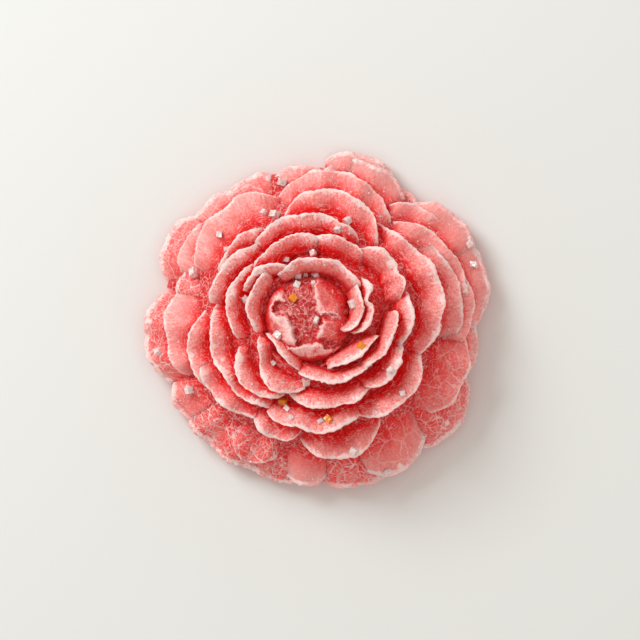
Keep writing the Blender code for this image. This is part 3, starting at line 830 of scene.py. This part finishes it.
def relief_tree():
    """Crust lumps on the rims, crumbs in the creases, folds along the petals and fine frost."""
    heights = [f"{label} height" for label in ("Crust", "Crumb", "Wrinkle", "Frost", "Plate")]
    inputs = dict.fromkeys([*heights, "Crust lump", "Plate scale"], "Float")
    tree, add, given = new_geometry_tree("sugar_relief", inputs)
    place = add(POSITION)
    floor, rim, cracked, clump, across, inwards = (
        add(STORED, label) for label in ("floor", "rim", "cracked", "clump", "across", "inwards")
    )
    lump_scale = add(OVER, 1.0, given["Crust lump"])
    along = add(PAIRED, add(TIMES, across, 0.35), add(TIMES, inwards, 0.12))
    lumps, folds, frost = (
        add(MINUS, add(NOISE, {"Vector": vector, "Scale": scale, "Detail": detail}), 0.5)
        for vector, scale, detail in (
            (place, lump_scale, 3.0),
            (along, 1.0, 2.0),
            (place, add(TIMES, lump_scale, 2.4), 2.0),
        )
    )
    thick = add(PLUS, rim, add(TIMES, clump, 3.0))
    crust = add(TIMES, add(TIMES, add(PLUS, lumps, 0.22), thick), add(TIMES, given["Crust height"], 2.2))
    crumbs = add(MINUS, 0.45, add(CELLS, {"Vector": place, "Scale": add(TIMES, lump_scale, 0.8)}))
    broken = add(LARGER, floor, add(TIMES, cracked, 0.35))
    crumbs = add(TIMES, add(TIMES, crumbs, broken), given["Crumb height"])
    pattern = {"Vector": bent_places(add, place), "Scale": given["Plate scale"]}
    plate = add(SPLIT, add(CELLS, pattern).outputs["Color"])
    groove = add(SMOOTH, add(BORDERS, pattern), 0.14, 0.0)
    plates = add(MINUS, add(MINUS, plate, 0.5), add(TIMES, groove, 0.6))
    plates = add(TIMES, add(TIMES, plates, given["Plate height"]), add(TIMES, cracked, cracked))
    folds = add(TIMES, folds, given["Wrinkle height"])
    frost = add(TIMES, frost, given["Frost height"])
    total = add(PLUS, add(PLUS, add(PLUS, crust, crumbs), add(PLUS, folds, frost)), plates)
    off_floor = add(SMOOTH, add(SPLIT, place).outputs["Z"], 0.0, RELIEF_START * MM)
    offset = add(SCALED, {0: add(NORMAL), "Scale": add(TIMES, total, off_floor)})
    raised = add("GeometryNodeSetPosition", {"Geometry": given["Geometry"], "Offset": offset})
    finish_geometry_tree(add, raised, given["Material"])
    return tree


def scatter_tree():
    """Fine sugar grains strewn over the faces that look up, thicker on crust than in creases."""
    inputs = dict.fromkeys(["Grain side", "Density", "Strewn share"], "Float")
    tree, add, given = new_geometry_tree("fine_sugar", {**inputs, "Seed": "Int"})
    upwards = add(SMOOTH, add(SPLIT, add(NORMAL)).outputs["Z"], 0.15, 0.5)
    openness = add(SMOOTH, add(STORED, "depth"), 0.5, 0.2)
    patches = add(NOISE, {"Vector": add(POSITION), "Scale": SUGAR_PATCHES, "Detail": 2.0})
    patches = add(SMOOTH, patches, 0.42, 0.62)
    strewn = add(TIMES, add(TIMES, patches, openness), given["Strewn share"])
    crusty = add(TIMES, add(SMOOTH, add(STORED, "rim"), 0.35, 0.8), add(PLUS, add(TIMES, patches, 0.7), 0.3))
    share = add(TIMES, upwards, add(LARGER, strewn, crusty))
    density = add(TIMES, share, given["Density"])
    spots = add(
        "GeometryNodeDistributePointsOnFaces",
        {"Mesh": given["Geometry"], "Density": density, "Seed": given["Seed"]},
        distribute_method="RANDOM",
    )
    turn = add(RANDOM_VECTOR, {0: (0.0,) * 3, 1: (math.tau,) * 3, "Seed": given["Seed"]})
    sides = add(RANDOM_VECTOR, *[(side,) * 3 for side in GRAIN_SIDES])
    grains = {
        "Points": spots,
        "Instance": add("GeometryNodeMeshCube", (1.0, 1.0, 1.0)),
        "Rotation": turn,
        "Scale": add(SCALED, {0: sides, "Scale": given["Grain side"]}),
    }
    finish_geometry_tree(add, add("GeometryNodeInstanceOnPoints", grains), given["Material"])
    return tree


def crystal_tree():
    """An uneven sugar crystal on each point, turned and sized by the point's own values."""
    tree, add, given = new_geometry_tree("coarse_sugar", {"Chip": "Float"})
    turn, sides = (add(STORED, label, data_type="FLOAT_VECTOR") for label in ("turn", "sides"))
    crystals = {
        "Points": given["Geometry"],
        "Instance": add("GeometryNodeMeshCube", (1.0, 1.0, 1.0), 4, 4, 4),
        "Rotation": turn,
        "Scale": sides,
    }
    real = add("GeometryNodeRealizeInstances", add("GeometryNodeInstanceOnPoints", crystals))
    noise = {"Vector": add(POSITION), "Scale": 1 / (CHIP_WIDTH * MM), "Detail": 1.0}
    uneven = add("ShaderNodeVectorMath", add(NOISE, noise).outputs["Color"], (0.5,) * 3, operation="SUBTRACT")
    chip = add(SCALED, {0: uneven, "Scale": given["Chip"]})
    chipped = add("GeometryNodeSetPosition", {"Geometry": real, "Offset": chip})
    finish_geometry_tree(add, chipped, given["Material"])
    return tree


def grown(made, tree, values):
    """Runs a tree on an object with the named input values and keeps the result as a plain mesh."""
    modifier = made.modifiers.new("grown", "NODES")
    modifier.node_group = tree
    for item in tree.interface.items_tree:
        if item.item_type == "SOCKET" and item.in_out == "INPUT" and item.name in values:
            modifier[item.identifier] = values[item.name]
    graph = bpy.context.evaluated_depsgraph_get()
    mesh = bpy.data.meshes.new_from_object(made.evaluated_get(graph))
    made.modifiers.remove(modifier)
    made.data = mesh
    return made


def seat(made):
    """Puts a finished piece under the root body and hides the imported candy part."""
    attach(made, "root")
    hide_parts(CANDY_NODE)


def new_material(name):
    """A material with no nodes yet, and a function that adds them."""
    material = bpy.data.materials.new(name)
    material.use_nodes = True
    material.node_tree.nodes.clear()
    return material, partial(add_node, material.node_tree)


def finish_material(add, bump, pattern, inputs):
    """The end of a material that light goes into: fine relief after a pattern, and the surface."""
    strength, height = bump
    normal = add("ShaderNodeBump", {"Strength": strength, "Distance": height * MM, "Height": pattern})
    shader = add("ShaderNodeBsdfPrincipled", {**inputs, "Normal": normal}, subsurface_method="RANDOM_WALK")
    add("ShaderNodeOutputMaterial", shader)


def jelly_material():
    """Kohakutou-style agar jelly, cast and dried until its skin turns to sugar.

    The eye gets a soft red body that glows where light goes in, a pale granular crust on the
    rims, a frosted salmon bloom on the faces and pale crack lines where the crust has broken.
    The creases are painted a deeper, darker red and kept clear of pale marks, as painted shade.
    """
    colours = bpy.context.scene.candy_colours
    plate_mm = bpy.context.scene.candy_sizes.plate_width / MM
    material, add = new_material("dried_agar_jelly")
    place = add("ShaderNodeTexCoord").outputs["Object"]
    bent = bent_places(add, place)
    depth, cracked, floor, bare, clump, inwards, across = (
        add("ShaderNodeAttribute", attribute_name=label).outputs["Fac"]
        for label in ("depth", "cracked", "floor", "bare", "clump", "inwards", "across")
    )
    blotches, rim_patches, line_patches, snaps, rime_lumps, grit = (
        add(NOISE, {"Vector": place, "Scale": 1 / (size * MM), "Detail": detail, "Roughness": roughness})
        for size, detail, roughness in JELLY_PATCHES
    )
    # Out of the creases: the pale marks below are painted only here, so that the creases keep their painted
    # shade.
    open_air = add(SMOOTH, depth, 0.5, 0.1)
    broken = add(SMOOTH, add(LARGER, cracked, floor), 0.15, 0.85)
    upper = add(SMOOTH, add(SPLIT, place).outputs["Z"], *[height * MM for height in UPPER_HEIGHTS])

    # Red body, which shows where the crust is thin or broken, and painted crease shade: the deeper a place
    # lies in a crease, the redder and darker it is painted, standing in for shade and the red glow of light
    # within the jelly.
    uneven = add(TIMES, add(MINUS, blotches, 0.5), add(TIMES_PLUS, broken, 0.5, 0.12))
    thinning = add(TIMES, add(SMOOTH, inwards, 4.0, 12.0), add(TIMES_PLUS, upper, -0.22, 0.22))
    # Painted crease shade: redder and darker with the depth of the crease, more so on the lower petals.
    crease_shade = add(TIMES, depth, add(TIMES_PLUS, upper, -0.5, 1.5))
    red_and_crease_shade = add(SMOOTH, add(PLUS, crease_shade, add(PLUS, uneven, thinning)), 0.11, 0.5)
    cell = add(SPLIT, add(CELLS, {"Vector": bent, "Scale": 1 / (plate_mm * MM)}).outputs["Color"])
    worn = add(TIMES, add(TIMES_PLUS, add(SMOOTH, cell, 0.2, 0.8), 0.5, 0.55), broken)
    red_and_crease_shade = add(LARGER, add(LARGER, red_and_crease_shade, floor), worn)

    # Bloom, which runs in from the rims; it and the crust are painted out in the creases, as painted shade.
    along = add(PAIRED, add(TIMES, across, 2.0), add(TIMES, inwards, 0.5))
    feathers = add(NOISE, {"Vector": along, "Scale": 1.0, "Detail": 3.0})
    rim_share = add(SMOOTH, rim_patches, 0.4, 0.62)
    reach = add(TIMES, add(TIMES_PLUS, rim_share, 1.7, 0.3), add(TIMES_PLUS, upper, 0.5, 0.5))
    fringe = add(EXPONENT, add(OVER, inwards, add(TIMES, reach, -1.0)))
    ragged = add(PLUS, fringe, add(TIMES, add(MINUS, feathers, 0.5), 1.1))
    crust = add(TIMES, add(SMOOTH, ragged, 0.38, 0.68), add(SMOOTH, depth, 0.75, 0.35))
    soft = add(EXPONENT, add(OVER, inwards, add(TIMES_PLUS, upper, 1.4, -4.6)))
    soft = add(TIMES, add(TIMES, soft, open_air), 0.72)
    soft = add(TIMES, soft, add(TIMES_PLUS, feathers, 2.6, -0.3), use_clamp=True)
    soft = add(TIMES, soft, add(TIMES_PLUS, broken, -0.7, 1.0))

    # Sugar grains: some are pale and some let the red through; fewer of either are painted deep in the
    # creases, as painted shade.
    grains = add(CELLS, {"Vector": place, "Scale": 1 / (GRAIN_WIDTH * MM)}).outputs["Color"]
    grain = add(SPLIT, grains)
    sugared = add(TIMES, add(LARGER, upper, add(TIMES, broken, 0.6)), open_air)
    sugared = add(TIMES, sugared, add(TIMES_PLUS, floor, -0.7, 1.0))
    pale = add(TIMES, add(SMOOTH, grain, 0.7, 0.9), add(TIMES_PLUS, sugared, 0.32, 0.14))
    pits = add(TIMES, add(SMOOTH, grain, 0.32, 0.1), add(TIMES_PLUS, sugared, 0.3, 0.16))

    # Crack lines: a few long ones on sound petals, more and finer ones where the crust has broken. Deep in
    # the creases they are painted fainter and pinker, as painted shade.
    patchy = add(SMOOTH, line_patches, 0.44, 0.56)
    snapped = add(SMOOTH, snaps, 0.4, 0.52)
    long, coarse, fine = (
        add(SMOOTH, add(BORDERS, {"Vector": bent, "Scale": 1 / (size * MM)}), width, width * 0.4)
        for size, width in (LONG_CRACKS, (plate_mm, COARSE_CRACK), FINE_CRACKS)
    )
    long = add(TIMES, long, add(SMOOTH, cracked, 0.3, 0.4, 0.0, 0.5))
    coarse = add(TIMES, coarse, add(SMOOTH, cracked, 0.45, 0.8))
    coarse = add(TIMES, coarse, add(TIMES_PLUS, patchy, 0.7, 0.3))
    coarse = add(TIMES, add(LARGER, coarse, long), add(MINUS, 1.0, floor))
    netted = add(TIMES, floor, add(TIMES_PLUS, bare, 0.35, 0.25))
    fine = add(TIMES, fine, add(LARGER, add(SMOOTH, cracked, 0.6, 0.9, 0.0, 0.2), netted))
    lines = add(LARGER, coarse, add(TIMES, fine, snapped))
    lines = add(TIMES, lines, add(SMOOTH, depth, 0.9, 0.2, 0.45, 1.0))
    line_colour = add(MIXED, {0: open_air, 6: colours.crust, 7: colours.rime}).outputs[2]

    # Thin folds, which run along the petals in the creases and catch a pale edge.
    layered = add(PAIRED, add(TIMES, across, 0.22), add(TIMES, inwards, 0.9))
    fold = add(NOISE, {"Vector": layered, "Scale": 1.0, "Detail": 2.0})
    fold = add(SMOOTH, add(ABSOLUTE, add(MINUS, fold, 0.5)), 0.03, 0.008)
    on_petal = add(TIMES, add(SMOOTH, inwards, 1.2, 2.5), add(SMOOTH, inwards, 18.0, 12.0))
    fold = add(TIMES, fold, add(TIMES, on_petal, add(SMOOTH, depth, 0.12, 0.3)))
    fold = add(TIMES, fold, add(TIMES, patchy, 0.7))

    # Rime: white stretches of crust on the rims and the clumps; the clumps are painted only out of the
    # creases, so that the creases keep their painted shade.
    clump = add(TIMES, clump, open_air)
    brink = add(EXPONENT, add(TIMES, inwards, -3.0))
    white = add(TIMES_PLUS, rim_share, 0.35, add(TIMES, upper, 0.25))
    white = add(TIMES_PLUS, crust, add(TIMES_PLUS, brink, 0.45, white), clump)
    white = add(SMOOTH, add(PLUS, white, add(TIMES, add(MINUS, rime_lumps, 0.5), 1.5)), 0.4, 0.8)
    white = add(TIMES, white, add(LARGER, crust, clump))
    white = add(TIMES, white, add(TIMES_PLUS, bare, -0.8, 1.0))

    # The colours, each laid over the ones before it by its share.
    seen = colours.flesh
    for share, colour in (
        (red_and_crease_shade, colours.deep),
        (add(TIMES, bare, 0.95), colours.bare),
        (soft, colours.crust),
        (add(TIMES, crust, 0.65), colours.crust),
        (pale, colours.rime),
        (pits, colours.deep),
        (add(TIMES, lines, 0.85), line_colour),
        (fold, colours.crust),
        (add(TIMES, white, 0.85), colours.rime),
    ):
        seen = add(MIXED, {0: share, 6: seen, 7: colour}).outputs[2]

    inputs = {
        "Base Color": seen,
        "Roughness": add(SMOOTH, add(LARGER, crust, grain), 0.0, 1.0, 0.35, 0.6),
        "IOR": 1.45,
        "Subsurface Weight": add(SMOOTH, depth, 0.1, 0.5, 0.3, 0.6),
        "Subsurface Radius": (1.0, 0.12, 0.08),
        "Subsurface Scale": 1.5 * MM,
    }
    relief = add(TIMES_PLUS, grit, 0.6, add(TIMES_PLUS, lines, 0.9, add(TIMES, grain, 0.8)))
    finish_material(add, JELLY_BUMP, relief, inputs)
    return material


def sugar_material(name, colour, inside, roughness, clear):
    """Sucrose crystals, grown and broken, and glassy: partly clear, so that some of the candy's colour
    shows through, with more of its pink painted into their colour in cloudy patches as painted see-through.
    """
    material, add = new_material(name)
    place = add("ShaderNodeTexCoord").outputs["Object"]
    cloud = add(NOISE, {"Vector": place, "Scale": 1 / (CLOUD_WIDTH * MM), "Detail": 2.0})
    # Painted see-through: the share of the candy's pink painted into the crystal, in place of the candy seen
    # through it.
    seen = add("ShaderNodeMapRange", cloud, 0.46, 0.6, 0.0, 0.6)
    inputs = {
        "Base Color": add(MIXED, {0: seen, 6: colour, 7: inside}).outputs[2],
        "Roughness": roughness,
        "IOR": 1.54,
        "Transmission Weight": clear,
        "Subsurface Weight": 0.6,
        "Subsurface Radius": (1.0, 0.9, 0.85),
        "Subsurface Scale": 0.8 * MM,
    }
    finish_material(add, SUGAR_BUMP, cloud, inputs)
    return material


def floor_material():
    """A pale, honed stone slab, which gives a soft, almost matt light from below."""
    material = bpy.data.materials.new("honed_pale_stone")
    material.use_nodes = True
    shader = material.node_tree.nodes["Principled BSDF"]
    shader.inputs["Base Color"].default_value = bpy.context.scene.candy_colours.floor
    shader.inputs["Roughness"].default_value = 0.55
    return material


def around(bearing, radius):
    """The place at a bearing and radius from the blossom's centre."""
    angle = math.radians(bearing)
    return BLOSSOM_CENTRE[0] + radius * math.cos(angle), BLOSSOM_CENTRE[1] + radius * math.sin(angle)


def candy_skins():
    """Every whorl's petals, the core and the bud's ball, as points, faces and values by piece name."""
    sizes = bpy.context.scene.candy_sizes
    step = sizes.column_step / MM
    skins = {}
    for ring, row in PETALS.items():
        draw = random.Random(f"{ring}{sizes.seed}")
        skin = Skin()
        for petal in row:
            add_petal(skin, ring, petal, step, draw)
        skins[f"petals_{ring}"] = skin.arrays()
    skins["core"] = core_skin(CORE_STEP * step)
    skins["bud"] = bud_skin(BUD_STEP * step, random.Random(sizes.seed))
    heights = HeightMap(np.concatenate([points for points, _, _ in skins.values()]))
    for name, (points, faces, values) in skins.items():
        # How deep in a crease each place lies, which the jelly's colour turns into painted shade; the bud and
        # the places round it get some more, as a redder tone.
        depth = heights.depth(points, corner_normals(points, faces)) + (BUD_REDNESS if name == "bud" else 0)
        from_bud = np.hypot(points[:, 0] - BUD_CENTRE[0], points[:, 1] - BUD_CENTRE[1])
        outer, inner = BLUSH_RADII
        values["depth"] = depth + BLUSH * np.clip((from_bud - outer) / (inner - outer), 0, 1)
        for label in ("floor", "bare"):
            values.setdefault(label, np.zeros(len(points)))
        values["clump"] = np.zeros(len(points))
        for bearing, radius, width in CRUST_CLUMPS:
            x, y = around(bearing, radius)
            near = np.exp(-(2 * np.hypot(points[:, 0] - x, points[:, 1] - y) / width) ** 4)
            values["clump"] = np.maximum(values["clump"], near)
    return skins


JELLY_PIECES = [f"petals_{ring}" for ring in PETALS] + ["core", "bud"]


def joined_jelly():
    """The finished jelly pieces together: points in metres, faces, and where rims and creases are."""
    points, faces, values = [], [], {"depth": [], "rim": []}
    count = 0
    for name in JELLY_PIECES:
        mesh = bpy.data.objects[name].data
        size = len(mesh.vertices)
        corners = np.empty(size * 3, dtype=np.float32)
        mesh.vertices.foreach_get("co", corners)
        points.append(corners.reshape(-1, 3))
        for label, stored in values.items():
            stored.append(np.empty(size, dtype=np.float32))
            mesh.attributes[label].data.foreach_get("value", stored[-1])
        faces += [[count + i for i in face.vertices] for face in mesh.polygons]
        count += size
    return np.concatenate(points), faces, {label: np.concatenate(stored) for label, stored in values.items()}


class CANDY_OT_jelly(bpy.types.Operator):
    """Make the jelly: the core, the bud's ball and a piece for each whorl of petals"""

    bl_idname = "candy.jelly"
    bl_label = "Petals and bud"

    def execute(self, context):
        sizes = context.scene.candy_sizes
        tree = relief_tree()
        inputs = {
            "Crust height": sizes.crust_height,
            "Crust lump": sizes.crust_grain,
            "Crumb height": sizes.crumb_height,
            "Wrinkle height": sizes.wrinkle_height,
            "Frost height": sizes.grain_height,
            "Plate height": sizes.plate_height,
            "Plate scale": 1 / sizes.plate_width,
            "Material": jelly_material(),
        }
        for name, skin in candy_skins().items():
            seat(grown(skin_object(name, *skin), tree, inputs))
        return {"FINISHED"}


class CANDY_OT_rock_sugar(bpy.types.Operator):
    """Set the coarse clear and amber sugar crystals on the petals"""

    bl_idname = "candy.rock_sugar"
    bl_label = "Coarse sugar"

    def execute(self, context):
        colours = context.scene.candy_colours
        points, faces, _ = joined_jelly()
        surface = BVHTree.FromPolygons(points.tolist(), faces)
        draw = random.Random(context.scene.candy_sizes.seed)
        tree = crystal_tree()
        clear = sugar_material("clear_rock_sugar", colours.rock, colours.inside, roughness=0.15, clear=0.2)
        amber = sugar_material("amber_rock_sugar", colours.amber, colours.amber, roughness=0.15, clear=0.1)
        for name, row, material in (("rock_sugar", ROCK_SUGAR, clear), ("amber_sugar", AMBER_SUGAR, amber)):
            spots, turns, sides = [], [], []
            for bearing, radius, side in row:
                above = Vector((*around(bearing, radius), 2 * CAD_HIGH[2] / MM)) * MM
                hit, normal, _, _ = surface.ray_cast(above, Vector((0, 0, -1)))
                spots.append(hit + normal * CRYSTAL_STAND * side * MM)
                turns += [draw.uniform(0, math.pi) for _ in range(3)]
                sides += [side * draw.uniform(*CRYSTAL_SIDES) * MM for _ in range(3)]
            mesh = bpy.data.meshes.new(name)
            mesh.from_pydata(spots, [], [])
            for label, values in (("turn", turns), ("sides", sides)):
                layer = mesh.attributes.new(label, "FLOAT_VECTOR", "POINT")
                layer.data.foreach_set("vector", values)
            seat(grown(linked_object(name, mesh), tree, {"Chip": CHIP_DEPTH * MM, "Material": material}))
        return {"FINISHED"}


class CANDY_OT_fine_sugar(bpy.types.Operator):
    """Strew fine sugar grains over the petals"""

    bl_idname = "candy.fine_sugar"
    bl_label = "Fine sugar"

    def execute(self, context):
        sizes = context.scene.candy_sizes
        white = context.scene.candy_colours.rime
        points, faces, values = joined_jelly()
        under = skin_object("fine_sugar", points / MM, faces, values)
        inputs = {
            "Grain side": sizes.sugar_side,
            "Density": sizes.sugar_density / MM**2,
            "Strewn share": sizes.strewn_share,
            "Seed": sizes.seed,
            "Material": sugar_material("fine_white_sugar", white, white, roughness=0.35, clear=0.0),
        }
        seat(grown(under, scatter_tree(), inputs))
        return {"FINISHED"}


class CANDY_OT_stage(bpy.types.Operator):
    """Set out the floor, the lights and the camera"""

    bl_idname = "candy.stage"
    bl_label = "Stage"

    def execute(self, context):
        scene = context.scene
        scene.view_settings.view_transform = "Standard"
        mesh = bpy.data.meshes.new("floor")
        corners = [(x * FLOOR_HALF, y * FLOOR_HALF, 0) for x, y in ((-1, -1), (1, -1), (1, 1), (-1, 1))]
        mesh.from_pydata(corners, [], [(0, 1, 2, 3)])
        mesh.materials.append(floor_material())
        floor = linked_object("floor", mesh)

        world = bpy.data.worlds.new("studio")
        world.use_nodes = True
        world.node_tree.nodes["Background"].inputs["Color"].default_value = linear(WORLD_COLOUR)
        world.node_tree.nodes["Background"].inputs["Strength"].default_value = WORLD_STRENGTH
        scene.world = world
        for name, place, energy, size, colour in LIGHTS:
            light = bpy.data.lights.new(name, "AREA")
            light.energy = energy
            light.size = size
            light.color = linear(colour)[:3]
            lamp = linked_object(name, light)
            lamp.location = place
            lamp.rotation_euler = (-Vector(place)).to_track_quat("-Z", "Y").to_euler()

        lens = bpy.data.cameras.new("camera")
        lens.sensor_width = SENSOR_WIDTH
        lens.lens = SENSOR_WIDTH * (CAMERA_HEIGHT - VIEW_PLANE) / VIEW_WIDTH
        camera = linked_object("camera", lens)
        x, y = (centre + shift for centre, shift in zip(BLOSSOM_CENTRE, VIEW_SHIFT))
        camera.location = (x * MM, y * MM, CAMERA_HEIGHT)
        scene.camera = camera
        return {"FINISHED"}


STEPS = (CANDY_OT_jelly, CANDY_OT_rock_sugar, CANDY_OT_fine_sugar, CANDY_OT_stage)


class CANDY_PT_panel(bpy.types.Panel):
    """Lists the candy's sizes, colours and steps"""

    bl_idname = "CANDY_PT_panel"
    bl_label = "Flower candy"
    bl_space_type = "VIEW_3D"
    bl_region_type = "UI"
    bl_category = "Flower candy"

    def draw(self, context):
        for group in (context.scene.candy_sizes, context.scene.candy_colours):
            box = self.layout.box()
            for name in group.__annotations__:
                box.prop(group, name)
        for step in STEPS:
            self.layout.operator(step.bl_idname)


CLASSES = (CandySizes, CandyColours, *STEPS, CANDY_PT_panel)


def register():
    for kind in CLASSES:
        bpy.utils.register_class(kind)
    bpy.types.Scene.candy_sizes = PointerProperty(type=CandySizes)
    bpy.types.Scene.candy_colours = PointerProperty(type=CandyColours)


def unregister():
    del bpy.types.Scene.candy_colours
    del bpy.types.Scene.candy_sizes
    for kind in reversed(CLASSES):
        bpy.utils.unregister_class(kind)


def main():
    register()
    bpy.ops.candy.jelly()
    bpy.ops.candy.rock_sugar()
    bpy.ops.candy.fine_sugar()
    bpy.ops.candy.stage()


if __name__ == "__main__":
    main()
